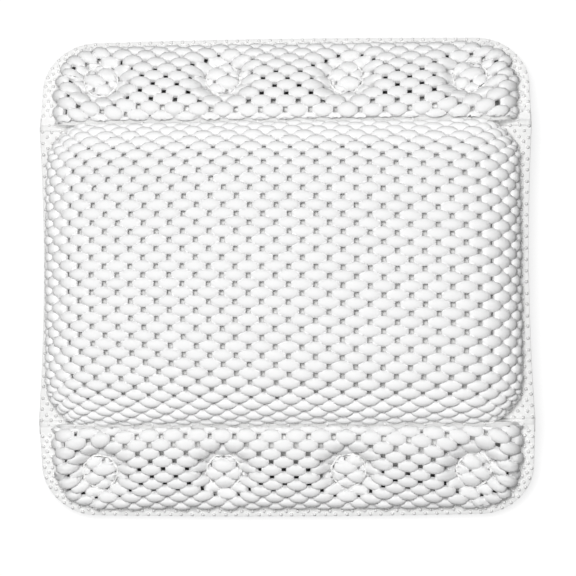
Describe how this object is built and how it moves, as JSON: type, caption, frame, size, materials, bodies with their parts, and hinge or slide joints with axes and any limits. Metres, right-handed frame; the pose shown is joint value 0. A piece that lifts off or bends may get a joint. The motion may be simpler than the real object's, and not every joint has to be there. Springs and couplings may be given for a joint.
{
  "type": "bath pillow",
  "caption": "Bath pillow with a puffed foam-net face, a filled main cushion, folding bands along its top and bottom edges, and suction cups behind the bands.",
  "frame": {"origin": "under the middle of the pillow, on the surface that it lies on", "axes": "+Z out of the cushioned face, +Y towards the upper band, +X to the right as seen from the front"},
  "size_m": [0.33, 0.3234, 0.0657],
  "materials": {
    "foam_net": "white foamed vinyl beads, satin",
    "back_film": "white soft vinyl film, satin",
    "fibre_fill": "white polyester fibre",
    "clear_vinyl": "clear soft vinyl, glossy"
  },
  "bodies": {
    "main_pillow": {"main_cover": "foam_net", "main_fill": "fibre_fill", "main_back": "back_film"},
    "upper_band": {"upper_band_cover": "foam_net", "upper_band_back": "back_film"},
    "upper_suction_cup_1": {"upper_suction_cup_1": "clear_vinyl"},
    "upper_suction_cup_2": {"upper_suction_cup_2": "clear_vinyl"},
    "upper_suction_cup_3": {"upper_suction_cup_3": "clear_vinyl"},
    "upper_suction_cup_4": {"upper_suction_cup_4": "clear_vinyl"},
    "lower_band": {"lower_band_cover": "foam_net", "lower_band_back": "back_film"},
    "lower_suction_cup_1": {"lower_suction_cup_1": "clear_vinyl"},
    "lower_suction_cup_2": {"lower_suction_cup_2": "clear_vinyl"},
    "lower_suction_cup_3": {"lower_suction_cup_3": "clear_vinyl"},
    "lower_suction_cup_4": {"lower_suction_cup_4": "clear_vinyl"}
  },
  "joints": [
    {"name": "upper_fold", "type": "hinge", "parent": "main_pillow", "child": "upper_band", "pos_m": [0, 0.1, 0.0266], "axis": [-1, 0, 0], "range_deg": [-30, 70], "stiffness_Nm_per_rad": 0.1},
    {"name": "upper_suction_cup_1_press", "type": "slide", "parent": "upper_band", "child": "upper_suction_cup_1", "axis": [0, 0.2971, 0.9548], "range_m": [0, 0.003], "stiffness_N_per_m": 3000},
    {"name": "upper_suction_cup_2_press", "type": "slide", "parent": "upper_band", "child": "upper_suction_cup_2", "axis": [0, 0.2971, 0.9548], "range_m": [0, 0.003], "stiffness_N_per_m": 3000},
    {"name": "upper_suction_cup_3_press", "type": "slide", "parent": "upper_band", "child": "upper_suction_cup_3", "axis": [0, 0.2971, 0.9548], "range_m": [0, 0.003], "stiffness_N_per_m": 3000},
    {"name": "upper_suction_cup_4_press", "type": "slide", "parent": "upper_band", "child": "upper_suction_cup_4", "axis": [0, 0.2971, 0.9548], "range_m": [0, 0.003], "stiffness_N_per_m": 3000},
    {"name": "lower_fold", "type": "hinge", "parent": "main_pillow", "child": "lower_band", "pos_m": [0, -0.1, 0.0266], "axis": [1, 0, 0], "range_deg": [-30, 70], "stiffness_Nm_per_rad": 0.1},
    {"name": "lower_suction_cup_1_press", "type": "slide", "parent": "lower_band", "child": "lower_suction_cup_1", "axis": [0, -0.2971, 0.9548], "range_m": [0, 0.003], "stiffness_N_per_m": 3000},
    {"name": "lower_suction_cup_2_press", "type": "slide", "parent": "lower_band", "child": "lower_suction_cup_2", "axis": [0, -0.2971, 0.9548], "range_m": [0, 0.003], "stiffness_N_per_m": 3000},
    {"name": "lower_suction_cup_3_press", "type": "slide", "parent": "lower_band", "child": "lower_suction_cup_3", "axis": [0, -0.2971, 0.9548], "range_m": [0, 0.003], "stiffness_N_per_m": 3000},
    {"name": "lower_suction_cup_4_press", "type": "slide", "parent": "lower_band", "child": "lower_suction_cup_4", "axis": [0, -0.2971, 0.9548], "range_m": [0, 0.003], "stiffness_N_per_m": 3000}
  ]
}
